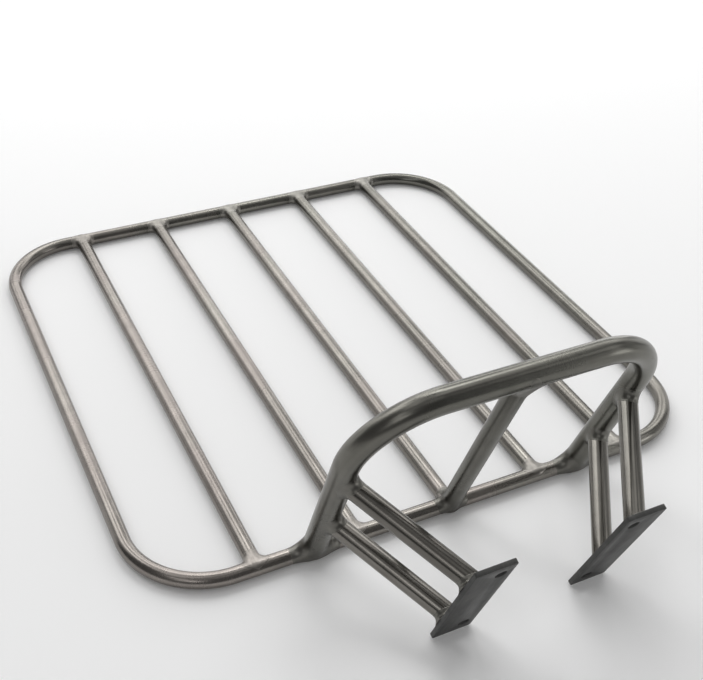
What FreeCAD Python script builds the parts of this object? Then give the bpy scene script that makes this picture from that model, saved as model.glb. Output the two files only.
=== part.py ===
import FreeCAD, Part
import os
import math

# Flat-deck bicycle rear rack, welded from round stainless tube and two
# flat mounting plates.  Units are millimetres, +Z is up.
#
# The deck lies flat.  The hoop rises from the deck's front rail and leans
# forward (towards -Y); four short legs run from the hoop to two plates that
# bolt to the frame.  Origin: middle of the rack's bounding box in X and Y,
# level with the underside of the deck tubes.

# ---------------------------------------------------------------- deck
DECK_W = 390.0          # side rail to side rail, tube centres
DECK_L = 388.0          # front rail to rear rail, tube centres
DECK_CORNER_R = 52.0    # bend radius of the loop's four corners, centre line
LOOP_D = 10.0           # loop tube outside diameter
LOOP_WALL = 1.25
SLAT_D = 10.0           # slat tube outside diameter
SLAT_WALL = 1.0
SLAT_COUNT = 5
SLAT_PITCH = 65.0       # slats and side rails are evenly spaced

# ---------------------------------------------------------------- hoop
LEAN_DEG = 20.5         # the hoop leans forward from vertical by this much
HOOP_D = 15.0
HOOP_WALL = 1.5
HOOP_HALF_W = 93.5      # centre line of each upright from the middle
HOOP_H = 152.0          # front rail centre to top bar centre, along the lean
HOOP_CORNER_R = 46.0    # centre line bend radius
STRUT_D = 12.0          # middle strut, front rail to hoop top bar
STRUT_WALL = 1.25

# ---------------------------------------------------------------- legs, plates
LEG_D = 12.0
LEG_WALL = 1.5
LEG_UPPER_S = 92.0      # height of the upper legs on the hoop, along the lean
LEG_LOWER_S = 44.5      # height of the lower legs on the hoop, along the lean
LEG_END_X = 50.5        # where each leg centre line meets its plate
PLATE_W = 25.0
PLATE_LEN = 90.0
PLATE_T = 3.0
PLATE_X = 46.5          # middle of each plate
PLATE_S = 69.8          # middle of each plate, along the lean
PLATE_D = 80.0          # outer (bolting) face to the hoop's centre plane
PLATE_CORNER_R = 1.5
HOLE_D = 7.0            # clearance hole for M6
HOLE_PITCH = 70.0       # upper hole to lower hole, centres
HOLE_INSET = 7.5        # hole centre to the plate's inner long edge

# ---------------------------------------------------------------- welds
BEAD_SLAT = 2.2         # leg length of the weld fillets
BEAD_HOOP = 3.0
BEAD_STRUT = 2.6
BEAD_LEG = 2.6
BEAD_PLATE = 2.4
BEAD_CROWN = 0.6        # deck welds stand this much above the tubes' top line
BEAD_CLEAR = 0.5        # and stop this far above the tubes' underside

V = FreeCAD.Vector
TH = math.radians(LEAN_DEG)
U = V(0.0, -math.sin(TH), math.cos(TH))      # up along the lean
N = V(0.0, -math.cos(TH), -math.sin(TH))     # out of the hoop plane, forward
X = V(1.0, 0.0, 0.0)
Y = V(0.0, 1.0, 0.0)
Z = V(0.0, 0.0, 1.0)
LOOP_R = LOOP_D / 2.0
SLAT_R = SLAT_D / 2.0
HOOP_R = HOOP_D / 2.0
STRUT_R = STRUT_D / 2.0
LEG_R = LEG_D / 2.0

# front rail's centre line sits here in the finished part
Y_MIN = -((PLATE_S + PLATE_LEN / 2.0) * math.sin(TH) + PLATE_D * math.cos(TH))
Y_MAX = DECK_L + LOOP_R
SHIFT = V(0.0, -(Y_MIN + Y_MAX) / 2.0, LOOP_R)


def at(x, s, n):
    """Point in the leaning frame: across, up the lean, forward of it."""
    return X * x + U * s + N * n


def rod(p, q, r):
    """Solid round bar from p to q."""
    d = q - p
    return Part.makeCylinder(r, d.Length, p, d)


def tube(p, q, r, wall):
    """Round tube from p to q, open at both ends."""
    d = q - p
    d.normalize()
    return rod(p, q, r).cut(rod(p - d, q + d, r - wall))


def sweep(wire, start, direction, r):
    """Round bar that follows a wire of tangent lines and arcs."""
    ring = Part.Wire([Part.makeCircle(r, start, direction)])
    return wire.makePipeShell([ring], True, False)


def arc(a, m, b):
    return Part.Arc(a, m, b).toShape()


def one(shape, what):
    """The shape's single solid."""
    s = shape.removeSplitter() if shape.Solids else shape
    if len(s.Solids) != 1 or not s.Solids[0].isValid():
        print("check", what, "solids", len(s.Solids), [round(k.Volume, 2) for k in s.Solids])
        s = Part.makeCompound([max(s.Solids, key=lambda k: k.Volume)])
    return s.Solids[0]


def keep(shape, what, least=1.0):
    """All solids of a shape bigger than a crumb."""
    out = [k for k in shape.Solids if k.Volume > least]
    for k in out:
        if not k.isValid():
            print("check", what, "not valid")
    return out


# ---------------------------------------------------------------- deck loop
w = DECK_W / 2.0
cr = DECK_CORNER_R
k45 = math.sqrt(0.5)


def loop_wire():
    e = []

    def corner(cx, cy, a0):
        c = V(cx, cy, 0)
        pts = [c + V(cr * math.cos(math.radians(a)), cr * math.sin(math.radians(a)), 0)
               for a in (a0, a0 + 45, a0 + 90)]
        return arc(*pts)

    line = lambda a, b: Part.makeLine(V(*a), V(*b))
    e.append(line((0, 0, 0), (w - cr, 0, 0)))
    e.append(corner(w - cr, cr, -90))
    e.append(line((w, cr, 0), (w, DECK_L - cr, 0)))
    e.append(corner(w - cr, DECK_L - cr, 0))
    e.append(line((w - cr, DECK_L, 0), (-w + cr, DECK_L, 0)))
    e.append(corner(-w + cr, DECK_L - cr, 90))
    e.append(line((-w, DECK_L - cr, 0), (-w, cr, 0)))
    e.append(corner(-w + cr, cr, 180))
    e.append(line((-w + cr, 0, 0), (0, 0, 0)))
    return e


def bent(edges_list, r):
    """Bars and torus segments of one bent tube, joined end to end."""
    parts = []
    for e in edges_list:
        a = e.valueAt(e.FirstParameter)
        t = e.tangentAt(e.FirstParameter)
        wire = Part.Wire([e])
        ring = Part.Wire([Part.makeCircle(r, a, t)])
        parts.append(wire.makePipeShell([ring], True, True).Solids[0]
                     if wire.makePipeShell([ring], True, True).Solids
                     else Part.Solid(wire.makePipeShell([ring], True, True)))
    s = parts[0]
    return s.fuse(parts[1:]).removeSplitter()


loop_edges = loop_wire()
loop_outer = bent(loop_edges, LOOP_R)
loop_inner = bent(loop_edges, LOOP_R - LOOP_WALL)
deck_loop = one(loop_outer.cut(loop_inner), "deck_loop")
front_rail = rod(V(-w + cr, 0, 0), V(w - cr, 0, 0), LOOP_R)
rear_rail = rod(V(-w + cr, DECK_L, 0), V(w - cr, DECK_L, 0), LOOP_R)

# ---------------------------------------------------------------- slats
slat_x = [(i - (SLAT_COUNT - 1) / 2.0) * SLAT_PITCH for i in range(SLAT_COUNT)]
slats = []
slat_rods = []
for x in slat_x:
    # ends are coped to sit on the rails; the sharp tips are dressed back
    a = V(x, 0.8, 0)
    b = V(x, DECK_L - 0.8, 0)
    t = tube(a, b, SLAT_R, SLAT_WALL).cut(front_rail).cut(rear_rail)
    slats.append(one(t, "slat"))
    slat_rods.append(rod(a, b, SLAT_R))

# ---------------------------------------------------------------- hoop
hr = HOOP_CORNER_R
HOOP_FOOT = -1.5        # the feet reach just past the front rail's centre


def hoop_edges(s0):
    h = HOOP_HALF_W
    top = HOOP_H
    e = [Part.makeLine(at(-h, s0, 0), at(-h, top - hr, 0)),
         arc(at(-h, top - hr, 0), at(-h + hr - hr * k45, top - hr + hr * k45, 0), at(-h + hr, top, 0)),
         Part.makeLine(at(-h + hr, top, 0), at(h - hr, top, 0)),
         arc(at(h - hr, top, 0), at(h - hr + hr * k45, top - hr + hr * k45, 0), at(h, top - hr, 0)),
         Part.makeLine(at(h, top - hr, 0), at(h, s0, 0))]
    return e


hoop_outer = bent(hoop_edges(HOOP_FOOT), HOOP_R)
hoop_inner = bent(hoop_edges(HOOP_FOOT - 2.0), HOOP_R - HOOP_WALL)
hoop = one(hoop_outer.cut(hoop_inner).cut(front_rail), "hoop")

# ---------------------------------------------------------------- strut
top_bar = rod(at(-HOOP_HALF_W + hr, HOOP_H, 0), at(HOOP_HALF_W - hr, HOOP_H, 0), HOOP_R)
mid_slat = slat_rods[SLAT_COUNT // 2]
strut_rod = rod(at(0, -1.0, 0), at(0, HOOP_H - 0.8, 0), STRUT_R)
strut = tube(at(0, -1.0, 0), at(0, HOOP_H - 0.8, 0), STRUT_R, STRUT_WALL)
strut = strut.cut(front_rail).cut(mid_slat).cut(top_bar)
hoop_strut = one(Part.makeCompound([max(strut.Solids, key=lambda k: k.Volume)]), "hoop_strut")

# ---------------------------------------------------------------- plates and legs
plates = {}
legs = {}
leg_rods = {}
plate_slabs = {}
for side, sg in (("left", -1), ("right", 1)):
    # flat bar, bolting face forward, corners broken
    c0 = at(sg * PLATE_X - PLATE_W / 2.0, PLATE_S - PLATE_LEN / 2.0, PLATE_D - PLATE_T)
    pts = [c0, c0 + X * PLATE_W, c0 + X * PLATE_W + U * PLATE_LEN, c0 + U * PLATE_LEN, c0]
    slab = Part.Face(Part.makePolygon(pts)).extrude(N * PLATE_T)
    plate_slabs[side] = slab
    short = [e for e in slab.Edges if abs(e.Length - PLATE_T) < 1e-6]
    body = slab.makeFillet(PLATE_CORNER_R, short)
    hx = sg * (PLATE_X - PLATE_W / 2.0 + HOLE_INSET)
    for k in (-0.5, 0.5):
        s = PLATE_S + k * HOLE_PITCH
        body = body.cut(rod(at(hx, s, PLATE_D - PLATE_T - 5), at(hx, s, PLATE_D + 5), HOLE_D / 2.0))
    plates[side] = one(body, "plate_" + side)
    for name, s in (("upper", LEG_UPPER_S), ("lower", LEG_LOWER_S)):
        p = at(sg * HOOP_HALF_W, s, 0)
        q = at(sg * LEG_END_X, s, PLATE_D - PLATE_T)
        d = (q - p).normalize()
        long_end = q + d * 20.0
        upright = rod(at(sg * HOOP_HALF_W, 0, 0), at(sg * HOOP_HALF_W, HOOP_H - hr, 0), HOOP_R)
        # trim plane: everything from the plate's back face onward
        big = Part.makeBox(120, 120, 60)
        big.Placement = FreeCAD.Placement(at(sg * PLATE_X, s, PLATE_D - PLATE_T), FreeCAD.Rotation(X, U, N, "ZXY"))
        big.translate(X * -60 + U * -60)
        start = p + d * 1.0
        leg = tube(start, long_end, LEG_R, LEG_WALL).cut(upright).cut(big)
        legs[name + "_" + side] = one(Part.makeCompound([max(leg.Solids, key=lambda k: k.Volume)]), "leg")
        leg_rods[name + "_" + side] = rod(start, long_end, LEG_R).cut(big)

# ---------------------------------------------------------------- welds
# Each bead fills the corner between a branch tube and what it lands on.
fr = front_rail


def bead(main_p, main_q, main_r, br_p, br_q, br_r, f, extra=()):
    """Material within f of both tube surfaces, outside both tubes."""
    b = rod(br_p, br_q, br_r + f).common(rod(main_p, main_q, main_r + f))
    b = b.cut(rod(main_p, main_q, main_r)).cut(rod(br_p, br_q, br_r))
    for k in extra:
        b = b.cut(k)
    return b


# deck welds stop short of the underside, so the rack sits flat on its tubes
deck_band = Part.makeBox(DECK_W, DECK_L + 80.0, LOOP_D + BEAD_CROWN - BEAD_CLEAR,
                         V(-DECK_W / 2.0, -40.0, -LOOP_R + BEAD_CLEAR))
above_floor = Part.makeBox(DECK_W, 160.0, 200.0, V(-DECK_W / 2.0, -120.0, -LOOP_R + 0.3))

front_beads = []
rear_beads = []
for i, x in enumerate(slat_x):
    f = BEAD_SLAT
    cut_by = [strut_rod] if i == SLAT_COUNT // 2 else []
    g = 2 * (SLAT_R + f)
    front_beads += keep(bead(V(x - g, 0, 0), V(x + g, 0, 0), LOOP_R,
                             V(x, 0.8, 0), V(x, LOOP_R + f + 6, 0), SLAT_R, f, cut_by).common(deck_band), "front bead")
    rear_beads += keep(bead(V(x - g, DECK_L, 0), V(x + g, DECK_L, 0), LOOP_R,
                            V(x, DECK_L - 0.8, 0), V(x, DECK_L - LOOP_R - f - 6, 0), SLAT_R, f).common(deck_band), "rear bead")

foot_welds = {}
for side, sg in (("left", -1), ("right", 1)):
    f = BEAD_HOOP
    h = sg * HOOP_HALF_W
    lo = HOOP_FOOT - 2.0
    shell = rod(at(h, lo, 0), at(h, LOOP_R + f + 4, 0), HOOP_R + f).common(
        rod(V(h - 20, 0, 0), V(h + 20, 0, 0), LOOP_R + f))
    shell = shell.cut(fr).cut(rod(at(h, HOOP_FOOT, 0), at(h, 30, 0), HOOP_R)).common(above_floor)
    foot_welds[side] = keep(shell, "foot weld")

f = BEAD_STRUT
shell = rod(at(0, -2.5, 0), at(0, LOOP_R + f + 4, 0), STRUT_R + f).common(
    rod(V(-20, 0, 0), V(20, 0, 0), LOOP_R + f))
shell = shell.cut(fr).cut(strut_rod).cut(mid_slat)
for b in front_beads:
    shell = shell.cut(b)
strut_foot_weld = keep(shell, "strut foot weld")
strut_top_weld = keep(bead(at(-20, HOOP_H, 0), at(20, HOOP_H, 0), HOOP_R,
                           at(0, HOOP_H - HOOP_R - f - 6, 0), at(0, HOOP_H - 0.8, 0), STRUT_R, f), "strut top weld")

leg_hoop = {}
leg_plate = {}
for side, sg in (("left", -1), ("right", 1)):
    a = []
    b = []
    for s in (LEG_UPPER_S, LEG_LOWER_S):
        p = at(sg * HOOP_HALF_W, s, 0)
        q = at(sg * LEG_END_X, s, PLATE_D - PLATE_T)
        d = (q - p).normalize()
        a += keep(bead(at(sg * HOOP_HALF_W, s - 16, 0), at(sg * HOOP_HALF_W, s + 13, 0), HOOP_R,
                       p + d * 1.0, p + d * 24.0, LEG_R, BEAD_LEG), "leg bead")
        slab = Part.Face(Part.makePolygon([
            at(sg * PLATE_X - PLATE_W / 2.0, s - 14, PLATE_D - PLATE_T),
            at(sg * PLATE_X + PLATE_W / 2.0, s - 14, PLATE_D - PLATE_T),
            at(sg * PLATE_X + PLATE_W / 2.0, s + 14, PLATE_D - PLATE_T),
            at(sg * PLATE_X - PLATE_W / 2.0, s + 14, PLATE_D - PLATE_T),
            at(sg * PLATE_X - PLATE_W / 2.0, s - 14, PLATE_D - PLATE_T)])).extrude(N * -BEAD_PLATE)
        ring = rod(q - d * 14.0, q + d * 14.0, LEG_R + BEAD_PLATE).common(slab)
        ring = ring.cut(rod(q - d * 20.0, q + d * 20.0, LEG_R))
        b += keep(ring, "plate bead")
    leg_hoop[side] = a
    leg_plate[side] = b

# ---------------------------------------------------------------- parts out
nodes = {"deck_loop": [deck_loop]}
for i, s in enumerate(slats):
    nodes["slat_%d" % (i + 1)] = [s]
nodes["hoop"] = [hoop]
nodes["hoop_strut"] = [hoop_strut]
for side in ("left", "right"):
    nodes["leg_upper_" + side] = [legs["upper_" + side]]
    nodes["leg_lower_" + side] = [legs["lower_" + side]]
    nodes["plate_" + side] = [plates[side]]
    nodes["hoop_foot_weld_" + side] = foot_welds[side]
    nodes["leg_hoop_welds_" + side] = leg_hoop[side]
    nodes["leg_plate_welds_" + side] = leg_plate[side]
nodes["slat_welds_front"] = front_beads
nodes["slat_welds_rear"] = rear_beads
nodes["strut_foot_weld"] = strut_foot_weld
nodes["strut_top_weld"] = strut_top_weld

os.makedirs("parts", exist_ok=True)
total = 0.0
for name in sorted(nodes):
    solids = nodes[name]
    shape = solids[0].copy() if len(solids) == 1 else Part.makeCompound([k.copy() for k in solids])
    shape.translate(SHIFT)
    shape.exportStep("parts/%s.step" % name)
    total += shape.Volume
    bb = shape.BoundBox
    print("%-24s solids %d vol %8.1f ok %s  x %.1f..%.1f y %.1f..%.1f z %.1f..%.1f" % (
        name, len(solids), shape.Volume, shape.isValid(), bb.XMin, bb.XMax, bb.YMin, bb.YMax, bb.ZMin, bb.ZMax))
print("total cm3", round(total / 1000.0, 1), "kg", round(total * 7.93e-6, 3))
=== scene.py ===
import math

import bpy
import numpy as np
from mathutils import Matrix, Vector


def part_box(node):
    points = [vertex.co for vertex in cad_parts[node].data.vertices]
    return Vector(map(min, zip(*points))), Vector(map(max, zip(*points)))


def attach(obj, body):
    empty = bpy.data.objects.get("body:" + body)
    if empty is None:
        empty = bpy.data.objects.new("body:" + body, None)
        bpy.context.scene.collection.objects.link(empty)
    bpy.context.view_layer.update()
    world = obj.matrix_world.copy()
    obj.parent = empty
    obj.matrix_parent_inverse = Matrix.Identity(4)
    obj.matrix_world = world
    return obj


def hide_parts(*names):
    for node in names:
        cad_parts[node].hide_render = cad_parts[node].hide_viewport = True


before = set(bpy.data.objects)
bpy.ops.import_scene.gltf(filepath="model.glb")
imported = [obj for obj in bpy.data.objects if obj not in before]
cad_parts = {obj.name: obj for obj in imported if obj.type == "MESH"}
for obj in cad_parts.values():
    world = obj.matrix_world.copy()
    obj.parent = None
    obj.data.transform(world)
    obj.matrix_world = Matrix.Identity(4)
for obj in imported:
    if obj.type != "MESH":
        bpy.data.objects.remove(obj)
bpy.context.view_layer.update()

# Welded tube rack: everything below is in metres, in the frame of the CAD
# model.  Each visible piece is rebuilt as a smooth mesh on the CAD's own axes
# and rides on the one body of the row.

MM = 0.001


# ------------------------------------------------------------------ positions
def span(node):
    lo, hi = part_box(node)
    return np.array(lo, float), np.array(hi, float)


loop_lo, loop_hi = span("deck_loop")
LOOP_R = (loop_hi[2] - loop_lo[2]) / 2
RAIL_X = loop_hi[0] - LOOP_R
FRONT_Y = loop_lo[1] + LOOP_R
REAR_Y = loop_hi[1] - LOOP_R
DECK_Z = (loop_lo[2] + loop_hi[2]) / 2
CORNER_R = 52 * MM

SLAT_X, SLAT_R = [], 5 * MM
for i in range(1, 6):
    a, b = span("slat_%d" % i)
    SLAT_X.append((a[0] + b[0]) / 2)
    SLAT_R = (b[0] - a[0]) / 2

LEAN = math.radians(20.5)
HOOP_R = 7.5 * MM
HOOP_HALF = 93.5 * MM
HOOP_H = 152 * MM
HOOP_BEND = 46 * MM
STRUT_R = 6 * MM
LEG_R = 6 * MM
LEG_S = {"upper": 92 * MM, "lower": 44.5 * MM}
LEG_END_X = 50.5 * MM
PLATE_W, PLATE_L, PLATE_T = 25 * MM, 90 * MM, 3 * MM
PLATE_X, PLATE_S, PLATE_D = 46.5 * MM, 69.8 * MM, 80 * MM
HOLE_R, HOLE_PITCH, HOLE_INSET = 3.5 * MM, 70 * MM, 7.5 * MM

EX = np.array((1.0, 0.0, 0.0))
EY = np.array((0.0, 1.0, 0.0))
EZ = np.array((0.0, 0.0, 1.0))
UP = np.array((0.0, -math.sin(LEAN), math.cos(LEAN)))     # up the hoop's lean
OUT = np.array((0.0, -math.cos(LEAN), -math.sin(LEAN)))   # forward of the hoop
FOOT = np.array((0.0, FRONT_Y, DECK_Z))


def at(x, s, n):
    """Point in the leaning frame: across, up the lean, forward of it."""
    return FOOT + EX * x + UP * s + OUT * n


def unit(v):
    v = np.asarray(v, float)
    return v / np.linalg.norm(v)


# every welded joint: a point on the seam's middle and the reach of its heat
JOINTS = []
for x in SLAT_X:
    JOINTS.append((np.array((x, FRONT_Y + 4 * MM, DECK_Z)), 5 * MM))
    JOINTS.append((np.array((x, REAR_Y - 4 * MM, DECK_Z)), 5 * MM))
for sg in (-1, 1):
    JOINTS.append((at(sg * HOOP_HALF, 3 * MM, 0), 9 * MM))
    for s in LEG_S.values():
        p = at(sg * HOOP_HALF, s, 0)
        q = at(sg * LEG_END_X, s, PLATE_D - PLATE_T)
        JOINTS.append((p + unit(q - p) * 8 * MM, 7 * MM))
        JOINTS.append((q, 7 * MM))
JOINTS.append((at(0, 4 * MM, 0), 8 * MM))
JOINTS.append((at(0, HOOP_H - 7 * MM, 0), 8 * MM))


def heat_at(p):
    """0..1, how close each point is to a welded joint."""
    h = np.zeros(len(p))
    for c, reach in JOINTS:
        d = np.linalg.norm(p - c, axis=1) - reach
        h = np.maximum(h, np.exp(-(np.maximum(d, 0) / (6.5 * MM)) ** 2))
    return h


# ------------------------------------------------------------------ mesh tools
def put(name, verts, faces, flow, nodes, material, smooth=True, normals=None, painted_shading=None):
    """One visible piece: mesh, attributes for its material, and its place in the frame."""
    me = bpy.data.meshes.new(name)
    verts = np.asarray(verts, float)
    me.from_pydata([tuple(v) for v in verts], [], [tuple(int(k) for k in f) for f in faces])
    me.validate()
    me.update()
    fl = me.attributes.new("flow", "FLOAT_VECTOR", "POINT")
    fl.data.foreach_set("vector", np.asarray(flow, np.float32).ravel())
    ht = me.attributes.new("heat", "FLOAT", "POINT")
    ht.data.foreach_set("value", heat_at(verts).astype(np.float32))
    # painted light and shade: a per-vertex factor on the base colour, 1 where nothing is painted
    tn = me.attributes.new("painted_shading", "FLOAT", "POINT")
    t = np.ones(len(verts)) if painted_shading is None else np.asarray(painted_shading, float)
    tn.data.foreach_set("value", t.astype(np.float32))
    wm = me.attributes.new("warm", "FLOAT", "POINT")
    # the steel is a little pinker towards the rack's left and front
    k = np.clip(0.62 - verts[:, 0] / 0.42 - np.clip((verts[:, 1] - 0.19) / 0.06, 0, 1) * 0.5, 0, 1)
    wm.data.foreach_set("value", k.astype(np.float32))
    if smooth:
        me.polygons.foreach_set("use_smooth", [True] * len(me.polygons))
    ob = bpy.data.objects.new(name, me)
    bpy.context.scene.collection.objects.link(ob)
    me.materials.append(material)
    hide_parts(*nodes)
    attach(ob, "root")
    if normals is not None:
        me.normals_split_custom_set_from_vertices([tuple(n) for n in normals])
    return ob


def ray_cylinder(p, d, c, axis, r):
    """Distance along d from p to where the ray first leaves the cylinder, or None where it misses."""
    w = p - c
    dp = d - axis * (d @ axis)
    wp = w - np.outer(w @ axis, axis) if w.ndim == 2 else w - axis * (w @ axis)
    a = dp @ dp
    b = 2 * (wp @ dp)
    k = (wp * wp).sum(-1) - r * r
    disc = b * b - 4 * a * k
    t = np.where(disc > 0, (-b + np.sqrt(np.maximum(disc, 0))) / (2 * a), np.nan)
    return t


def frame_of(d, hint):
    """Two directions square to d."""
    u = hint - d * (hint @ d)
    u = unit(u)
    return u, np.cross(d, u)


def straight_tube(p, q, r, hint, start_cut, end_cut, step=3 * MM, seg=40):
    """Round tube from p to q whose two ends follow the surfaces that they are coped to.

    start_cut and end_cut take points on the axis-parallel lines, given at p and q,
    and give how far along p->q (or back from q) each line starts.
    """
    p, q = np.asarray(p, float), np.asarray(q, float)
    length = np.linalg.norm(q - p)
    d = (q - p) / length
    u, v = frame_of(d, hint)
    ang = np.arange(seg) * 2 * math.pi / seg
    ring = np.outer(np.cos(ang), u) + np.outer(np.sin(ang), v)
    verts, flow, faces = [], [], []
    n = max(4, int(round(length / step)))
    t0 = start_cut(p + ring * r)
    t1 = length - end_cut(q + ring * r)
    for i in range(n + 1):
        f = i / n
        # cope follows the cut at the ends and levels out in between
        t = t0 + (t1 - t0) * f
        verts.append(p + ring * r + np.outer(t, d))
        flow.append(np.stack([np.cos(ang) * r, np.sin(ang) * r, t], 1))
    for i in range(n):
        for k in range(seg):
            k2 = (k + 1) % seg
            faces.append((i * seg + k, i * seg + k2, (i + 1) * seg + k2, (i + 1) * seg + k))
    verts = np.concatenate(verts)
    flow = np.concatenate(flow)
    # the two coped ends, closed by rings that shrink onto the same surface
    for end, cut, base, sign in ((0, start_cut, p, 1), (n, end_cut, q, -1)):
        prev = np.arange(seg) + end * seg
        for frac in (0.72, 0.4, 0.0):
            if frac > 0:
                t = cut(base + ring * r * frac)
                t = t if sign > 0 else -t
                new = base + ring * r * frac + np.outer(t, d)
                idx = np.arange(seg) + len(verts)
                verts = np.concatenate([verts, new])
                flow = np.concatenate([flow, np.stack([np.cos(ang) * r * frac, np.sin(ang) * r * frac, np.full(seg, 0.0 if sign > 0 else length)], 1)])
                for k in range(seg):
                    k2 = (k + 1) % seg
                    f = (prev[k], idx[k], idx[k2], prev[k2])
                    faces.append(f if sign > 0 else f[::-1])
                prev = idx
            else:
                t = cut(np.array([base]))
                t = t if sign > 0 else -t
                c = len(verts)
                verts = np.concatenate([verts, base[None] + np.outer(t, d)])
                flow = np.concatenate([flow, [[0, 0, 0.0 if sign > 0 else length]]])
                for k in range(seg):
                    k2 = (k + 1) % seg
                    f = (prev[k], c, prev[k2])
                    faces.append(f if sign > 0 else f[::-1])
    return verts, faces, flow


def bent_tube(stations, r, side_dir, closed, seg=48, caps=None):
    """Round tube along stations (point, tangent, arc length); side_dir is square to the path's plane."""
    ang = np.arange(seg) * 2 * math.pi / seg
    verts, flow, faces = [], [], []
    for p, t, s in stations:
        t = unit(t)
        w = np.cross(side_dir, t)
        ring = np.outer(np.cos(ang), w) + np.outer(np.sin(ang), side_dir)
        verts.append(p + ring * r)
        flow.append(np.stack([np.cos(ang) * r, np.sin(ang) * r, np.full(seg, s)], 1))
    n = len(stations)
    for i in range(n if closed else n - 1):
        j = (i + 1) % n
        for k in range(seg):
            k2 = (k + 1) % seg
            faces.append((i * seg + k, i * seg + k2, j * seg + k2, j * seg + k))
    return np.concatenate(verts), faces, np.concatenate(flow)


def path_points(runs, step):
    """Stations along straight runs and arcs: ("line", a, b) or ("arc", centre, e1, e2, radius, a0, a1)."""
    out, s = [], 0.0
    for run in runs:
        if run[0] == "line":
            a, b = run[1], run[2]
            length = np.linalg.norm(b - a)
            n = max(1, int(round(length / step)))
            d = (b - a) / length
            for i in range(n):
                out.append((a + d * length * i / n, d, s + length * i / n))
            s += length
        else:
            _, c, e1, e2, rad, a0, a1 = run
            length = abs(a1 - a0) * rad
            n = max(6, int(round(length / (step * 0.8))))
            sg = 1 if a1 > a0 else -1
            for i in range(n):
                a = a0 + (a1 - a0) * i / n
                pt = c + (e1 * math.cos(a) + e2 * math.sin(a)) * rad
                tg = (-e1 * math.sin(a) + e2 * math.cos(a)) * sg
                out.append((pt, tg, s + length * i / n))
            s += length
    return out, s


# ------------------------------------------------------------------ distances
def d_rod(p, a, b, r):
    """Distance to a round bar of endless length through a and b."""
    d = unit(b - a)
    w = p - a
    w = w - (w @ d)[..., None] * d
    return np.linalg.norm(w, axis=-1) - r


def d_capped(p, a, b, r):
    """Distance to a round bar from a to b with flat ends."""
    length = np.linalg.norm(b - a)
    d = (b - a) / length
    w = p - a
    t = w @ d
    rad = np.linalg.norm(w - t[..., None] * d, axis=-1) - r
    ax = np.abs(t - length / 2) - length / 2
    return np.minimum(np.maximum(rad, ax), 0) + np.sqrt(np.maximum(rad, 0) ** 2 + np.maximum(ax, 0) ** 2)


def d_capsule(p, a, b, r):
    """Distance to a round bar from a to b with ball ends."""
    length = np.linalg.norm(b - a)
    d = (b - a) / length
    w = p - a
    t = np.clip(w @ d, 0, length)
    return np.linalg.norm(w - t[..., None] * d, axis=-1) - r


def d_slab(p, centre, axes, half, rnd=0.0):
    w = p - centre
    q = np.stack([np.abs(w @ ax) - (h - rnd) for ax, h in zip(axes, half)], -1)
    return np.linalg.norm(np.maximum(q, 0), axis=-1) + np.minimum(q.max(-1), 0) - rnd


def round_union(a, b, rad):
    """Union of two solids with a hollow fillet of radius rad between them."""
    u = np.maximum(rad - a, 0)
    v = np.maximum(rad - b, 0)
    return np.maximum(rad, np.minimum(a, b)) - np.sqrt(u * u + v * v)


def ease(x, a, b):
    t = np.clip((x - a) / (b - a), 0, 1)
    return t * t * (3 - 2 * t)


def narrowed(p, d1, d2, rad, least=0.22):
    """Fillet radius that shrinks where the two surfaces run nearly the same way."""
    g1, g2 = grad(d1, p, 0.05 * MM), grad(d2, p, 0.05 * MM)
    dot = (g1 * g2).sum(-1) / np.maximum(np.linalg.norm(g1, axis=-1) * np.linalg.norm(g2, axis=-1), 1e-9)
    return rad * (1 - (1 - least) * ease(dot, 0.25, 0.97))


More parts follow.
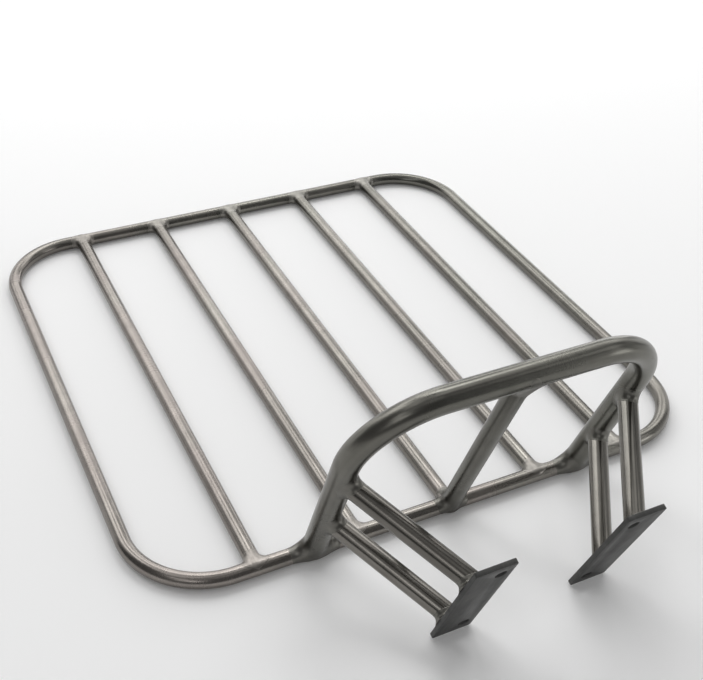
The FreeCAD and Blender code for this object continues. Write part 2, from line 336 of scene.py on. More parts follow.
def surface_net(f, lo, hi, h):
    """Quads of the surface f = 0 inside a box, drawn towards the exact surface."""
    n = np.ceil((hi - lo) / h).astype(int) + 1
    ax = [lo[k] + np.arange(n[k]) * h for k in range(3)]
    g = np.stack(np.meshgrid(*ax, indexing="ij"), -1)
    val = f(g.reshape(-1, 3)).reshape(n)
    sgn = val < 0
    nx, ny, nz = n - 1
    corner = [(i, j, k) for i in (0, 1) for j in (0, 1) for k in (0, 1)]
    cells = np.zeros((nx, ny, nz), int)
    for c in corner:
        cells += sgn[c[0]:nx + c[0], c[1]:ny + c[1], c[2]:nz + c[2]]
    active = (cells > 0) & (cells < 8)
    idx = -np.ones((nx, ny, nz), int)
    ids = np.argwhere(active)
    idx[active] = np.arange(len(ids))
    acc = np.zeros((len(ids), 3))
    cnt = np.zeros(len(ids))
    edges = [(a, b) for a in corner for b in corner if a < b and sum(abs(x - y) for x, y in zip(a, b)) == 1]
    for a, b in edges:
        va = val[ids[:, 0] + a[0], ids[:, 1] + a[1], ids[:, 2] + a[2]]
        vb = val[ids[:, 0] + b[0], ids[:, 1] + b[1], ids[:, 2] + b[2]]
        hit = (va < 0) != (vb < 0)
        t = np.where(hit, va / np.where(hit, va - vb, 1), 0)
        pa, pb = np.array(a, float), np.array(b, float)
        acc += np.where(hit[:, None], pa + t[:, None] * (pb - pa), 0)
        cnt += hit
    verts = lo + (ids + acc / cnt[:, None]) * h
    faces = []
    for axis in range(3):
        o1, o2 = [k for k in range(3) if k != axis]
        s0 = sgn
        s1 = np.roll(sgn, -1, axis)
        change = s0 != s1
        sl = [slice(1, None), slice(1, None), slice(1, None)]
        sl[axis] = slice(0, n[axis] - 1)
        e = np.argwhere(change)
        ok = (e[:, axis] < n[axis] - 1) & (e[:, o1] > 0) & (e[:, o1] < n[o1] - 1) & (e[:, o2] > 0) & (e[:, o2] < n[o2] - 1)
        e = e[ok]
        inside = s0[e[:, 0], e[:, 1], e[:, 2]]
        q = []
        for da, db in ((-1, -1), (0, -1), (0, 0), (-1, 0)):
            c = e.copy()
            c[:, o1] += da
            c[:, o2] += db
            q.append(idx[c[:, 0], c[:, 1], c[:, 2]])
        q = np.stack(q, 1)
        flip = inside if axis != 1 else ~inside
        q[~flip] = q[~flip][:, ::-1]
        faces.append(q)
    faces = np.concatenate(faces)
    # two Newton steps onto the exact surface
    for _ in range(3):
        val0 = f(verts)
        g = grad(f, verts, h * 0.05)
        gg = (g * g).sum(1)
        step = -(val0 / np.maximum(gg, 0.25))[:, None] * g
        size = np.linalg.norm(step, axis=1)
        lim = np.minimum(1, 0.35 * h / np.maximum(size, 1e-12))
        verts = verts + step * lim[:, None]
    return verts, faces


def grad(f, p, e):
    out = np.zeros_like(p)
    for k in range(3):
        d = np.zeros(3)
        d[k] = e
        out[:, k] = (f(p + d) - f(p - d)) / (2 * e)
    return out


# ------------------------------------------------------------------ materials
def nt_link(nt, a, b):
    nt.links.new(a, b)


def steel(name, base_a, base_b, rough, grain=1.0, tint=(0.5, 0.36, 0.22), tint_amount=0.35, streak=0.5, mottle=0.0, bump=0.35, kind="tube"):
    """Bare steel: two close tones, drawn streaks, polishing lines, heat colour by the welds, light wear, and painted
    light and shade from a per-vertex factor.
    """
    m = bpy.data.materials.new(name)
    m.use_nodes = True
    nt = m.node_tree
    nt.nodes.clear()
    N = nt.nodes.new
    out = N("ShaderNodeOutputMaterial")
    bs = N("ShaderNodeBsdfPrincipled")
    bs.inputs["Metallic"].default_value = 1.0
    nt_link(nt, bs.outputs[0], out.inputs[0])

    flow = N("ShaderNodeAttribute"); flow.attribute_name = "flow"
    heat = N("ShaderNodeAttribute"); heat.attribute_name = "heat"
    painted_shading = N("ShaderNodeAttribute"); painted_shading.attribute_name = "painted_shading"
    warm_ = N("ShaderNodeAttribute"); warm_.attribute_name = "warm"
    tc = N("ShaderNodeTexCoord")

    def scaled(src, s):
        v = N("ShaderNodeVectorMath"); v.operation = "MULTIPLY"
        nt_link(nt, src, v.inputs[0]); v.inputs[1].default_value = s
        return v.outputs[0]

    def noise(vec, scale, detail, roughness=0.5):
        n = N("ShaderNodeTexNoise")
        n.inputs["Scale"].default_value = scale
        n.inputs["Detail"].default_value = detail
        n.inputs["Roughness"].default_value = roughness
        nt_link(nt, vec, n.inputs["Vector"])
        return n.outputs["Fac"]

    def maprange(v, a, b, c, d):
        r = N("ShaderNodeMapRange")
        nt_link(nt, v, r.inputs["Value"])
        r.inputs["From Min"].default_value = a
        r.inputs["From Max"].default_value = b
        r.inputs["To Min"].default_value = c
        r.inputs["To Max"].default_value = d
        return r.outputs["Result"]

    def math_(op, a, b=None, clamp=False):
        k = N("ShaderNodeMath"); k.operation = op; k.use_clamp = clamp
        for i, v in enumerate((a, b)):
            if v is None:
                continue
            if isinstance(v, (int, float)):
                k.inputs[i].default_value = v
            else:
                nt_link(nt, v, k.inputs[i])
        return k.outputs[0]

    def mix(fac, a, b, blend="MIX"):
        k = N("ShaderNodeMix"); k.data_type = "RGBA"; k.blend_type = blend
        for sock, v in ((k.inputs["Factor"], fac), (k.inputs["A"], a), (k.inputs["B"], b)):
            if isinstance(v, (int, float)):
                sock.default_value = v
            elif isinstance(v, tuple):
                sock.default_value = (*v, 1)
            else:
                nt_link(nt, v, sock)
        return k.outputs["Result"]

    fv = flow.outputs["Vector"]
    ov = tc.outputs["Object"]

    if kind == "tube":
        long_streak = noise(scaled(fv, (420, 420, 7)), 1.0, 2, 0.5)      # drawn lines along the tube
        polish = noise(scaled(fv, (90, 90, 1300)), 1.0, 1, 0.5)          # fine lines round the tube
    elif kind == "plate":
        long_streak = noise(scaled(fv, (600, 12, 300)), 1.0, 3, 0.5)
        polish = noise(scaled(fv, (1500, 60, 400)), 1.0, 1, 0.5)
    else:
        long_streak = noise(ov, 260.0, 3, 0.5)
        polish = noise(ov, 900.0, 1, 0.5)
    patch = noise(ov, 14.0, 4, 0.55)                                     # hand-sized changes of tone
    blotch = noise(ov, 85.0, 4, 0.5)                                     # finger-sized stains
    wave = noise(ov, 60.0, 1, 0.4)                                       # hand-polished unevenness

    # base_a is the warmer tone, base_b the greyer one
    pk = math_("ADD", warm_.outputs["Fac"], maprange(patch, 0.34, 0.66, -0.35, 0.35), clamp=True)
    col = mix(pk, base_b, base_a)
    # streaks lighten and darken the colour a little
    s = maprange(long_streak, 0.3, 0.7, 1 - 0.22 * streak, 1 + 0.22 * streak)
    b2 = maprange(blotch, 0.3, 0.7, 1 - 0.10 - mottle * 0.25, 1 + 0.08 + mottle * 0.2)
    both = math_("MULTIPLY", s, b2)
    # painted light and shade: the colour is scaled by the per-vertex painted factor
    both = math_("MULTIPLY", both, painted_shading.outputs["Fac"])
    grey = N("ShaderNodeCombineColor")
    for k in range(3):
        nt_link(nt, both, grey.inputs[k])
    col = mix(1.0, col, grey.outputs[0], "MULTIPLY")
    # straw-brown heat colour where a weld is near
    hh = math_("MULTIPLY", heat.outputs["Fac"], maprange(blotch, 0.3, 0.7, 0.6, 1.0))
    hh = math_("MULTIPLY", hh, tint_amount)
    tinted = mix(1.0, col, tint, "MULTIPLY")
    warm = mix(0.55, tinted, col)
    col = mix(hh, col, warm)
    nt_link(nt, col, bs.inputs["Base Color"])

    r = maprange(polish, 0.3, 0.7, rough - 0.05 * grain, rough + 0.06 * grain)
    r = math_("ADD", r, maprange(patch, 0.35, 0.65, -0.03, 0.04))
    r = math_("ADD", r, math_("MULTIPLY", hh, 0.25))
    nt_link(nt, math_("MINIMUM", math_("MAXIMUM", r, 0.08), 0.9), bs.inputs["Roughness"])

    bp = N("ShaderNodeBump")
    bp.inputs["Strength"].default_value = bump
    bp.inputs["Distance"].default_value = 0.00012
    hsum = math_("ADD", math_("MULTIPLY", polish, 0.012), math_("MULTIPLY", long_streak, 0.05))
    hsum = math_("ADD", hsum, math_("MULTIPLY", wave, 0.5))
    nt_link(nt, hsum, bp.inputs["Height"])
    nt_link(nt, bp.outputs[0], bs.inputs["Normal"])
    return m


DECK = steel("deck_satin_steel", (0.215, 0.195, 0.180), (0.188, 0.184, 0.164), 0.26, grain=0.1, streak=0.25)
# painted shade: the hoop and strut take a darker copy of the satin steel, for the dark reflections they show
HOOP = steel("hoop_satin_steel_painted_shade", (0.159, 0.154, 0.137), (0.148, 0.147, 0.130), 0.28, grain=0.1, streak=0.25)
LEG = steel("leg_satin_steel", (0.181, 0.171, 0.155), (0.166, 0.161, 0.145), 0.20, grain=0.1, streak=0.3)
# the plates' base colour is set far darker than the tubes'
PLATE = steel("plate_dark_steel", (0.101, 0.101, 0.098), (0.088, 0.088, 0.086), 0.55, grain=0.6, streak=0.3, mottle=0.5, bump=0.3, kind="plate")
WELD = steel("weld_bright_steel", (0.262, 0.240, 0.222), (0.236, 0.230, 0.210), 0.36, grain=0.3, streak=0.3, mottle=0.2, kind="weld", tint_amount=0.12)
WELD_DARK = steel("weld_dressed_steel", (0.172, 0.166, 0.150), (0.160, 0.158, 0.142), 0.36, grain=0.3, streak=0.3, mottle=0.2, kind="weld", tint_amount=0.12)


def deck_painted_shading(p):
    """Painted light and shade in the deck tubes' base colour: darker to the right and along the rear rail."""
    x, y = p[:, 0], p[:, 1]
    t = np.clip(1.05 - np.maximum(x - 0.03, 0) * 1.5, 0.8, 1.08)
    return t * (1 + 0.12 * ease(x, 0.15, 0.19)) * (1 - 0.10 * ease(y, 0.2, 0.24)) * (1 + 0.16 * ease(-y, 0.10, 0.13))


# painted light and shade per leg: base colour factors, darker on the upper left leg and lighter on both lower legs
LEG_PAINTED_SHADING = {("left", "upper"): 0.86, ("left", "lower"): 1.16, ("right", "upper"): 1.0, ("right", "lower"): 1.08}


# ------------------------------------------------------------------ deck loop
w, cr = RAIL_X, CORNER_R
P = lambda x, y: np.array((x, y, DECK_Z))
half = math.pi / 2
runs = [
    ("line", P(0, FRONT_Y), P(w - cr, FRONT_Y)),
    ("arc", P(w - cr, FRONT_Y + cr), EX, EY, cr, -half, 0),
    ("line", P(w, FRONT_Y + cr), P(w, REAR_Y - cr)),
    ("arc", P(w - cr, REAR_Y - cr), EX, EY, cr, 0, half),
    ("line", P(w - cr, REAR_Y), P(-w + cr, REAR_Y)),
    ("arc", P(-w + cr, REAR_Y - cr), EX, EY, cr, half, 2 * half),
    ("line", P(-w, REAR_Y - cr), P(-w, FRONT_Y + cr)),
    ("arc", P(-w + cr, FRONT_Y + cr), EX, EY, cr, 2 * half, 3 * half),
    ("line", P(-w + cr, FRONT_Y), P(0, FRONT_Y)),
]
st, total = path_points(runs, 3 * MM)
v, f, fl = bent_tube(st, LOOP_R, EZ, True, seg=48)
put("deck_loop_tube", v, f, fl, ["deck_loop"], DECK, painted_shading=deck_painted_shading(v))

# ------------------------------------------------------------------ slats
for i, x in enumerate(SLAT_X):
    a, b = P(x, FRONT_Y), P(x, REAR_Y)
    cut = lambda pts: np.sqrt(np.maximum(LOOP_R ** 2 - (pts[:, 2] - DECK_Z) ** 2, 0)) + 0.02 * MM
    v, f, fl = straight_tube(a, b, SLAT_R, EZ, cut, cut)
    fl = fl + np.array((0.3 * (i + 1), 0, 0.7 * i))
    put("slat_tube_%d" % (i + 1), v, f, fl, ["slat_%d" % (i + 1)], DECK, painted_shading=deck_painted_shading(v))

# ------------------------------------------------------------------ hoop
h, top, hb = HOOP_HALF, HOOP_H, HOOP_BEND
hs0 = 0.5 * MM
runs = [
    ("line", at(-h, hs0, 0), at(-h, top - hb, 0)),
    ("arc", at(-h + hb, top - hb, 0), EX, UP, hb, math.pi, half),
    ("line", at(-h + hb, top, 0), at(h - hb, top, 0)),
    ("arc", at(h - hb, top - hb, 0), EX, UP, hb, half, 0),
    ("line", at(h, top - hb, 0), at(h, hs0, 0)),
]
st, total = path_points(runs, 3 * MM)
st.append((at(h, hs0, 0), -UP, total))
SEG = 56
v, f, fl = bent_tube(st, HOOP_R, OUT, False, seg=SEG)
# both feet are coped over the front rail: lines that meet the rail stop on it
v = v.reshape(len(st), SEG, 3)
for end, order in ((0, 1), (len(st) - 1, -1)):
    for k in range(SEG):
        base = v[end, k] - UP * 0.03
        t = ray_cylinder(base, UP, FOOT, EX, LOOP_R)
        foot = 0.03 if np.isnan(t) else max(float(t), 0.03)
        j = end
        for _ in range(12):
            s = (v[j, k] - base) @ UP
            lift = foot + abs(j - end) * 1.6 * MM
            if s < lift:
                v[j, k] = base + UP * lift
            else:
                break
            j += order
v = v.reshape(-1, 3)
f = list(f)
for end, flip in ((0, False), (len(st) - 1, True)):
    ring = list(range(end * SEG, (end + 1) * SEG))
    c = len(v)
    v = np.concatenate([v, v[ring].mean(0, keepdims=True)])
    fl = np.concatenate([fl, fl[ring].mean(0, keepdims=True)])
    for k in range(SEG):
        t = (ring[k], c, ring[(k + 1) % SEG])
        f.append(t[::-1] if flip else t)
put("hoop_tube", v, f, fl, ["hoop"], HOOP)

# ------------------------------------------------------------------ strut
sa, sb = at(0, 0, 0), at(0, HOOP_H, 0)


def strut_start(pts):
    t = ray_cylinder(pts, UP, FOOT, EX, LOOP_R)
    t = np.where(np.isnan(t), 0, t)
    k = ray_cylinder(pts, UP, P(SLAT_X[2], 0), EY, SLAT_R)
    beyond = pts + np.outer(np.where(np.isnan(k), 0, k), UP)
    k = np.where(np.isnan(k) | (beyond[:, 1] < FRONT_Y + 1 * MM), 0, k)
    return np.maximum(t, k) + 0.02 * MM


def strut_end(pts):
    t = ray_cylinder(pts, -UP, at(0, HOOP_H, 0), EX, HOOP_R)
    return np.where(np.isnan(t), 0, t) + 0.02 * MM


v, f, fl = straight_tube(sa, sb, STRUT_R, OUT, strut_start, strut_end, seg=44)
# painted shade: the strut's base colour is darkened to 0.9
put("strut_tube", v, f, fl + np.array((1.7, 0, 0)), ["hoop_strut"], HOOP, painted_shading=np.full(len(v), 0.9))

# ------------------------------------------------------------------ legs
leg_axis = {}
for side, sg in (("left", -1), ("right", 1)):
    for lvl, s in LEG_S.items():
        p = at(sg * HOOP_HALF, s, 0)
        q = at(sg * LEG_END_X, s, PLATE_D - PLATE_T)
        d = unit(q - p)
        leg_axis[side, lvl] = (p, q, d)

        def start(pts, d=d, p=p):
            t = ray_cylinder(pts, d, p, UP, HOOP_R)
            return np.where(np.isnan(t), 0, t) + 0.02 * MM

        def end(pts, d=d, q=q):
            # back along the leg from a square end at q to the plate's back face
            t = ((pts - q) @ OUT) / (d @ OUT)
            return t + 0.01 * MM

        v, f, fl = straight_tube(p, q, LEG_R, UP, start, end, step=2.5 * MM, seg=44)
        put("leg_tube_%s_%s" % (lvl, side), v, f, fl + np.array((2.3 + sg, 0, s * 9)), ["leg_%s_%s" % (lvl, side)], LEG, painted_shading=np.full(len(v), LEG_PAINTED_SHADING[side, lvl]))


# ------------------------------------------------------------------ plates
def plate_mesh(sg):
    """Outline of the flat bar with round corners, plus the holes' offset across the bar, the edge chamfer and the
    corner radius.
    """
    cr_, ch = 1.5 * MM, 0.35 * MM
    hx = -sg * (PLATE_W / 2 - HOLE_INSET)
    outline = []
    for cx, cy, a0 in ((1, 1, 0), (-1, 1, 90), (-1, -1, 180), (1, -1, 270)):
        for a in range(0, 91, 15):
            r_ = math.radians(a0 + a)
            outline.append((cx * (PLATE_W / 2 - cr_) + cr_ * math.cos(r_), cy * (PLATE_L / 2 - cr_) + cr_ * math.sin(r_)))
    outline = np.array(outline)
    cen = np.array((0.0, 0.0))
    return outline, hx, ch, cr_


import bmesh


def build_plate(side, sg):
    outline, hx, ch, cr_ = plate_mesh(sg)
    # one face with two holes, filled by a triangulator, then given thickness in rings
    def loop_at(off, z):
        """Outline pulled in by off at height z, as 3-D local points."""
        n = len(outline)
        out = []
        for a in range(n):
            x, y = outline[a]
            cx = math.copysign(PLATE_W / 2 - cr_, x)
            cy = math.copysign(PLATE_L / 2 - cr_, y)
            dx, dy = x - cx, y - cy
            k = (cr_ - off) / cr_
            out.append((cx + dx * k, cy + dy * k, z))
        return out

    def hole_at(cy, off, z, n=40):
        return [(hx + (HOLE_R + off) * math.cos(2 * math.pi * k / n), cy + (HOLE_R + off) * math.sin(2 * math.pi * k / n), z) for k in range(n)]

    bm = bmesh.new()
    T = PLATE_T / 2
    prof = [(ch, -T), (ch * 0.3, -T + ch * 0.3), (0, -T + ch), (0, T - ch), (ch * 0.3, T - ch * 0.3), (ch, T)]
    rings = [[bm.verts.new(p) for p in loop_at(off, z)] for off, z in prof]
    for a, b in zip(rings, rings[1:]):
        n = len(a)
        for k in range(n):
            bm.faces.new((a[k], a[(k + 1) % n], b[(k + 1) % n], b[k]))
    holes = []
    hc = 0.3 * MM
    for cy in (-HOLE_PITCH / 2, HOLE_PITCH / 2):
        hp = [(hc, -T), (hc * 0.3, -T + hc * 0.3), (0, -T + hc), (0, T - hc), (hc * 0.3, T - hc * 0.3), (hc, T)]
        hr = [[bm.verts.new(p) for p in hole_at(cy, off, z)] for off, z in hp]
        for a, b in zip(hr, hr[1:]):
            n = len(a)
            for k in range(n):
                bm.faces.new((a[(k + 1) % n], a[k], b[k], b[(k + 1) % n]))
        holes.append(hr)
    for level in (0, -1):
        edges = []
        for ring in [rings[level]] + [hr[level] for hr in holes]:
            n = len(ring)
            for k in range(n):
                e = bm.edges.get((ring[k], ring[(k + 1) % n]))
                edges.append(e)
        bmesh.ops.triangle_fill(bm, use_beauty=True, use_dissolve=False, edges=edges)
    bmesh.ops.recalc_face_normals(bm, faces=bm.faces)
    # the vertices and faces, read back out of the bmesh
    bm.verts.ensure_lookup_table()
    me = bpy.data.meshes.new("tmp")
    bm.to_mesh(me)
    bm.free()
    loc = np.zeros(len(me.vertices) * 3)
    me.vertices.foreach_get("co", loc)
    loc = loc.reshape(-1, 3)
    faces = [tuple(p.vertices) for p in me.polygons]
    bpy.data.meshes.remove(me)
    centre = at(sg * PLATE_X, PLATE_S, PLATE_D - PLATE_T / 2)
    world = centre + loc[:, :1] * EX + loc[:, 1:2] * UP + loc[:, 2:3] * OUT
    # X, UP, OUT is a left-handed set when OUT points to -Y: keep faces outward
    if np.dot(np.cross(EX, UP), OUT) < 0:
        faces = [f[::-1] for f in faces]
    ob = put("plate_bar_" + side, world, faces, loc + np.array((0.05 * sg + 0.2, 0.3 * sg, 0)), ["plate_" + side], PLATE, smooth=False)
    return ob


for side, sg in (("left", -1), ("right", 1)):
    ob = build_plate(side, sg)
    me = ob.data
    me.polygons.foreach_set("use_smooth", [True] * len(me.polygons))
    me.set_sharp_from_angle(angle=math.radians(32))


# ------------------------------------------------------------------ welds
def weld(name, nodes, parts, material):
    """Weld metal as closed pieces: each part is (f_outer, d_min, box_lo, box_hi, step)."""
    V_, F_, N_ = [], [], []
    base = 0
    for f_outer, d_min, lo, hi, step in parts:
        eps = 1.0 * MM      # the hidden inner face lies this deep under the tubes
        f_ = lambda p, fo=f_outer, dm=d_min: np.maximum(fo(p), -(dm(p) + eps))
        vs, fs = surface_net(f_, lo, hi, step)
        # drop crumbs: keep the largest connected piece
        vs, fs = largest(vs, fs)
        ns = grad(f_, vs, step * 0.05)
        ns /= np.maximum(np.linalg.norm(ns, axis=1), 1e-9)[:, None]
        V_.append(vs); N_.append(ns)
        F_.append(fs + base)
        base += len(vs)
    vs = np.concatenate(V_); ns = np.concatenate(N_); fs = np.concatenate(F_)
    put(name, vs, fs, vs, nodes, material, normals=ns)


def largest(vs, fs):
    n = len(vs)
    lab = np.arange(n)
    e = np.concatenate([fs[:, [0, 1]], fs[:, [1, 2]], fs[:, [2, 3]], fs[:, [3, 0]]])
    for _ in range(400):
        m = np.minimum(lab[e[:, 0]], lab[e[:, 1]])
        old = lab.copy()
        np.minimum.at(lab, e[:, 0], m)
        np.minimum.at(lab, e[:, 1], m)
        lab = lab[lab]
        if (lab == old).all():
            break
    vals, counts = np.unique(lab[fs[:, 0]], return_counts=True)
    keep = lab == vals[counts.argmax()]
    new = -np.ones(n, int)
    new[keep] = np.arange(keep.sum())
    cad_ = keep[fs].all(1)
    return vs[keep], new[fs[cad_]]


def fillet(d1, d2, rad, raise_, fall, ripple=None, limit=None, narrow=True, least=0.22):
    """Outer surface of a weld between two solids."""
    def f(p):
        a, b = d1(p), d2(p)
        q = np.sqrt(np.maximum(a, 0) ** 2 + np.maximum(b, 0) ** 2)
        big = rad(p) if callable(rad) else rad
        r_ = narrowed(p, d1, d2, big, least) if narrow else big
        g = round_union(a, b, r_)
        lift = raise_
        if ripple is not None:
            lift = lift + ripple(p) * np.clip(1.4 - q / r_, 0, 1)
        g = g - lift + np.maximum(q - r_, 0) * fall
        if limit is not None:
            g = np.maximum(g, limit(p))
        return g
    dm = lambda p: np.minimum(d1(p), d2(p))
    return f, dm


def around(c, u, v, count, amp, phase=0.0):
    """Ripples laid round an axis through c: u and v are square to it."""
    def r(p):
        w = p - c
        a = np.arctan2(w @ v, w @ u)
        k = (a * count / (2 * math.pi) + phase) % 1.0
        return amp * np.abs(np.sin(math.pi * k)) ** 0.7
    return r


d_front = lambda p: d_rod(p, P(-1, FRONT_Y), P(1, FRONT_Y), LOOP_R)
d_rear = lambda p: d_rod(p, P(-1, REAR_Y), P(1, REAR_Y), LOOP_R)

for label, y, d_rail, sgn in (("front", FRONT_Y, d_front, 1), ("rear", REAR_Y, d_rear, -1)):
    parts = []
    for i, x in enumerate(SLAT_X):
        d_slat = lambda p, x=x, y=y, sgn=sgn: d_capsule(p, P(x, y), P(x, y + sgn * 0.2), SLAT_R)
        rad = 4.0 * MM
        # the bead goes over the top of the joint and stops short of the underside
        c = P(x, y + sgn * 3.6 * MM)
        def limit(p, x=x, y=y, sgn=sgn):
            under = (DECK_Z - 3.6 * MM) - p[:, 2]
            return under
        def f(p, x=x, y=y, sgn=sgn, d_slat=d_slat, d_rail=d_rail, limit=limit, rad=rad, c=c):
            a, b = d_rail(p), d_slat(p)
            # only the slat's own side of the rail
            q = np.sqrt(np.maximum(a, 0) ** 2 + np.maximum(b, 0) ** 2)
            g = round_union(a, b, narrowed(p, d_rail, d_slat, rad))
            w_ = p - c
            # raised crown over the seam: a soft pad round the joint's top
            seam = np.abs(w_[:, 1]) - 0.0
            top = np.exp(-((w_[:, 1]) / (2.8 * MM)) ** 2) * np.exp(-((p[:, 0] - x) / (4.4 * MM)) ** 4)
            k = ((np.arctan2(w_[:, 2], w_[:, 0]) * 9 / math.pi) % 1.0)
            rip = 0.06 * MM * np.abs(np.sin(math.pi * k)) ** 0.7
            lift = 0.09 * MM + 0.32 * MM * top + rip * np.clip(1.3 - q / rad, 0, 1)
            reach = np.sqrt((w_[:, 1] / (6.8 * MM)) ** 2 + ((p[:, 0] - x) / (9.2 * MM)) ** 2) - 1
            g = g - lift + np.maximum(reach, 0) * 4.0 * MM
            return np.maximum(g, limit(p))
        dm = lambda p, d_slat=d_slat, d_rail=d_rail: np.minimum(d_slat(p), d_rail(p))
        lo = P(x - 13 * MM, y + (-9 if sgn > 0 else -14) * MM) - EZ * 7 * MM
        hi = P(x + 13 * MM, y + (14 if sgn > 0 else 9) * MM) + EZ * 8 * MM
        parts.append((f, dm, lo, hi, 0.42 * MM))
    weld("slat_weld_beads_" + label, ["slat_welds_" + label], parts, WELD)

# hoop feet: dressed fillets that flow from the upright onto the rail
for side, sg in (("left", -1), ("right", 1)):
    hx = sg * HOOP_HALF
    d_up = lambda p, hx=hx: d_capped(p, at(hx, hs0, 0), at(hx, 0.08, 0), HOOP_R)
    # ground flat underneath and along the lower front edge
    limit = lambda p: np.maximum((DECK_Z - LOOP_R + 0.35 * MM) - p[:, 2],
                                 -(p[:, 1] - FRONT_Y) * 0.572 - (p[:, 2] - DECK_Z) * 0.820 - 5.75 * MM)
    f, dm = fillet(d_up, d_front, 8.5 * MM, 0.08 * MM, 0.6, limit=limit, least=0.42)
    lo = np.array((hx - 24 * MM, FRONT_Y - 20 * MM, -1 * MM))
    hi = np.array((hx + 24 * MM, FRONT_Y + 18 * MM, 24 * MM))
    weld("hoop_foot_weld_%s_bead" % side, ["hoop_foot_weld_" + side], [(f, dm, lo, hi, 0.55 * MM)], WELD_DARK)

# strut foot and strut top
d_strut = lambda p: d_capped(p, at(0, 0.3 * MM, 0), at(0, HOOP_H, 0), STRUT_R)
d_mid = lambda p: d_rod(p, P(SLAT_X[2], -1), P(SLAT_X[2], 1), SLAT_R)
d_deck = lambda p: np.minimum(d_front(p), np.where(p[:, 1] > FRONT_Y, d_mid(p), 1.0))
limit = lambda p: (DECK_Z - LOOP_R + 0.35 * MM) - p[:, 2]
f, dm = fillet(d_strut, d_deck, 5.0 * MM, 0.09 * MM, 0.6, ripple=around(FOOT, EX, OUT, 26, 0.05 * MM), limit=limit)
lo = np.array((-20 * MM, FRONT_Y - 16 * MM, -1 * MM))
hi = np.array((20 * MM, FRONT_Y + 18 * MM, 22 * MM))
weld("strut_foot_bead", ["strut_foot_weld"], [(f, dm, lo, hi, 0.5 * MM)], WELD_DARK)

d_bar = lambda p: d_rod(p, at(-1, HOOP_H, 0), at(1, HOOP_H, 0), HOOP_R)
# the welder laid more metal on the strut's right side
flare = lambda p: (5.5 + 4.5 * ease(p[:, 0], -3 * MM, 4 * MM)) * MM
f, dm = fillet(d_strut, d_bar, flare, 0.08 * MM, 0.6)
c = at(0, HOOP_H - 6 * MM, 0)
lo = c - np.array((22, 16, 18)) * MM
hi = c + np.array((22, 18, 14)) * MM
limit_top = lambda p: -1.0
weld("strut_top_bead", ["strut_top_weld"], [(f, dm, lo, hi, 0.55 * MM)], WELD_DARK)

# legs to hoop, legs to plates
for side, sg in (("left", -1), ("right", 1)):
    parts_h, parts_p = [], []
    hx = sg * HOOP_HALF
    for lvl, s in LEG_S.items():
        p0, q0, d = leg_axis[side, lvl]
        d_leg = lambda p, a=p0, b=q0: d_capped(p, a, b + unit(b - a) * 0.02, LEG_R)
        d_up = lambda p, hx=hx: d_rod(p, at(hx, 0, 0), at(hx, 0.1, 0), HOOP_R)
        u_, v_ = frame_of(d, UP)
        f, dm = fillet(d_leg, d_up, 4.4 * MM, 0.09 * MM, 0.6, ripple=around(p0, u_, v_, 22, 0.05 * MM, 0.3 * s))
        c = p0 + d * 6 * MM
        ext = np.array((15, 15, 15)) * MM
        parts_h.append((f, dm, c - ext, c + ext, 0.45 * MM))
        d_plate = lambda p, s=s, sg=sg: d_slab(p, at(sg * PLATE_X, PLATE_S, PLATE_D - PLATE_T / 2), (EX, UP, OUT), (PLATE_W / 2, PLATE_L / 2, PLATE_T / 2), 0.3 * MM)
        front = lambda p, sg=sg: ((p - at(sg * PLATE_X, PLATE_S, PLATE_D - PLATE_T)) @ OUT) - 0.2 * MM
        f, dm = fillet(d_leg, d_plate, 4.4 * MM, 0.09 * MM, 0.6, narrow=False, ripple=around(q0, u_, v_, 22, 0.05 * MM, 0.17 * s), limit=front)
        c = q0 - d * 2 * MM
        parts_p.append((f, dm, c - ext, c + ext, 0.45 * MM))
    weld("leg_hoop_beads_" + side, ["leg_hoop_welds_" + side], parts_h, WELD_DARK)
    weld("leg_plate_beads_" + side, ["leg_plate_welds_" + side], parts_p, WELD_DARK)


# ------------------------------------------------------------------ studio
def floor():
    me = bpy.data.meshes.new("floor")
    n, R = 96, 14.0
    vs = [(0, 0, 0)] + [(R * math.cos(2 * math.pi * k / n), R * math.sin(2 * math.pi * k / n), 0) for k in range(n)]
    me.from_pydata(vs, [], [(0, 1 + k, 1 + (k + 1) % n) for k in range(n)])
    ob = bpy.data.objects.new("studio_floor", me)
    bpy.context.scene.collection.objects.link(ob)
    m = bpy.data.materials.new("pale_floor")
    m.use_nodes = True
    b = m.node_tree.nodes["Principled BSDF"]
    b.inputs["Base Color"].default_value = (0.92, 0.92, 0.92, 1)
    b.inputs["Emission Color"].default_value = (1, 1, 1, 1)
    b.inputs["Emission Strength"].default_value = 0.05
    b.inputs["Roughness"].default_value = 0.9
    b.inputs["Specular IOR Level"].default_value = 0.1
    me.materials.append(m)


floor()


def softbox(name, az, el, dist, wide, high, power, target=(0, 0.05, 0.03), colour=(1, 1, 1)):
    """Rectangular soft light; az is 0 behind the rack (+Y) and 90 to its right (+X)."""
    a, e = math.radians(az), math.radians(el)
    t = Vector(target)
    pos = t + Vector((math.sin(a) * math.cos(e), math.cos(a) * math.cos(e), math.sin(e))) * dist
    li = bpy.data.lights.new(name, "AREA")
    li.shape = "RECTANGLE"
    li.size, li.size_y = wide, high
    li.energy = power
    li.color = colour
    ob = bpy.data.objects.new(name, li)
    bpy.context.scene.collection.objects.link(ob)
    ob.location = pos
    ob.rotation_mode = "QUATERNION"
    ob.rotation_quaternion = (t - pos).to_track_quat("-Z", "Y")
    return ob


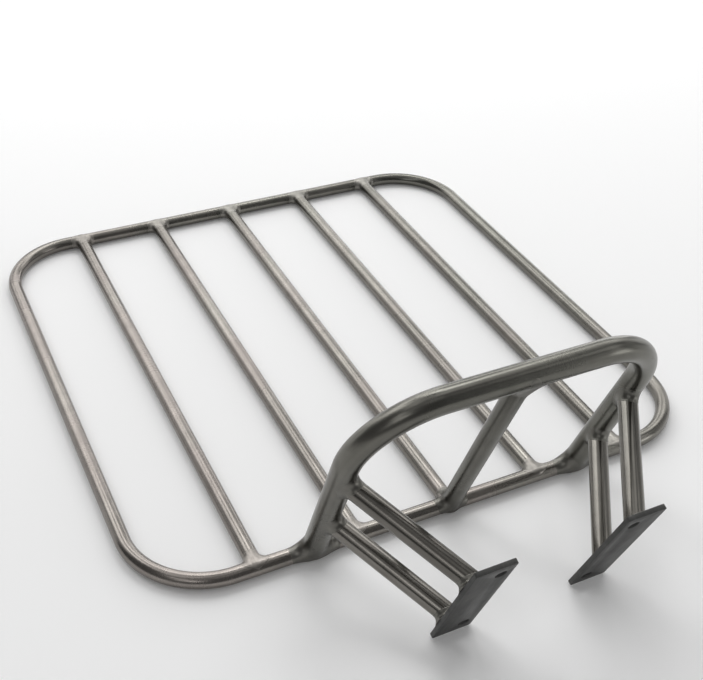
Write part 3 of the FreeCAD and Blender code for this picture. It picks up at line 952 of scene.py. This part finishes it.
# soft boxes on a dome, brightest behind the rack: azimuth, elevation, width, height, radiance
for k_, (az, el, wide, high, rad_) in enumerate((
        (-45, 6, 0.9, 0.9, 0.86), (-15, 6, 0.9, 0.9, 1.34), (15, 6, 0.9, 0.9, 1.06),
        (45, 6, 0.9, 0.9, 2.40), (75, 6, 0.9, 0.9, 1.10), (105, 6, 0.9, 0.9, 0.51),
        (135, 6, 0.9, 0.9, 2.41), (-45, 22, 0.7, 0.7, 0.33), (-30, 22, 0.7, 0.7, 1.92),
        (0, 22, 0.7, 0.7, 1.06), (15, 22, 0.7, 0.7, 1.82), (30, 22, 0.7, 0.7, 2.42),
        (60, 22, 0.7, 0.7, 0.71), (75, 22, 0.7, 0.7, 0.79), (100, 25, 1, 0.8, 0.27),
        (134, 25, 1, 0.8, 0.73), (-148, 31, 0.4, 0.4, 2.13), (-148, 40, 0.4, 0.4, 0.22),
        (-139, 31, 0.4, 0.4, 1.61), (-139, 40, 0.4, 0.4, 0.83), (-139, 49, 0.4, 0.4, 0.30),
        (-130, 22, 0.4, 0.4, 0.58), (-130, 31, 0.4, 0.4, 0.52), (-130, 40, 0.4, 0.4, 1.18),
        (-121, 49, 0.4, 0.4, 2.40), (-50, 38, 0.75, 0.7, 0.67), (-33, 38, 0.75, 0.7, 2.18),
        (-16, 38, 0.75, 0.7, 2.77), (0, 38, 0.75, 0.7, 2.29), (16, 38, 0.75, 0.7, 1.68),
        (50, 38, 0.75, 0.7, 1.67), (67, 38, 0.75, 0.7, 2.26), (120, 44, 0.9, 0.8, 1.15),
        (-35, 55, 0.8, 0.75, 2.78), (15, 55, 0.8, 0.75, 3.34), (40, 55, 0.8, 0.75, 4.31),
        (65, 55, 0.8, 0.75, 0.63), (90, 55, 0.8, 0.75, 0.29), (-150, 62, 0.9, 0.8, 0.22),
        (170, 62, 0.9, 0.8, 0.37), (-90, 72, 0.8, 0.8, 1.10), (-30, 72, 0.8, 0.8, 0.55),
        (90, 72, 0.8, 0.8, 1.00), (0, 90, 0.9, 0.9, 0.50))):
    ob = softbox("soft_box_%02d" % k_, az, el, 2.6, wide, high, math.pi * wide * high * rad_)
    ob.visible_camera = False

world = bpy.data.worlds.new("studio")
bpy.context.scene.world = world
world.use_nodes = True
wn = world.node_tree
wn.nodes.clear()
wo = wn.nodes.new("ShaderNodeOutputWorld")
bg = wn.nodes.new("ShaderNodeBackground")
bg.inputs["Color"].default_value = (1.0, 1.0, 1.0, 1)
bg.inputs["Strength"].default_value = 0.14
wn.links.new(bg.outputs[0], wo.inputs[0])

# ------------------------------------------------------------------ camera
cam = bpy.data.cameras.new("camera")
cam.sensor_width = 36.0
cam.sensor_fit = "HORIZONTAL"
cam.lens = 1102.81 / 703 * 36.0
cam.clip_start, cam.clip_end = 0.02, 60
co = bpy.data.objects.new("camera", cam)
bpy.context.scene.collection.objects.link(co)
right = Vector((0.89934856, -0.43566094, 0.03703664))
upv = Vector((0.23643142, 0.55582512, 0.79696839))
back = Vector((-0.36779389, -0.70799575, 0.60288446))
rot = Matrix((right, upv, back)).transposed()
co.matrix_world = Matrix.Translation(Vector((-0.285541, -0.545268, 0.501344))) @ rot.to_4x4()
bpy.context.scene.camera = co

vs_ = bpy.context.scene.view_settings
vs_.view_transform = "Standard"
vs_.look = "None"
vs_.exposure = 0.0
vs_.gamma = 1.0

bpy.context.view_layer.update()
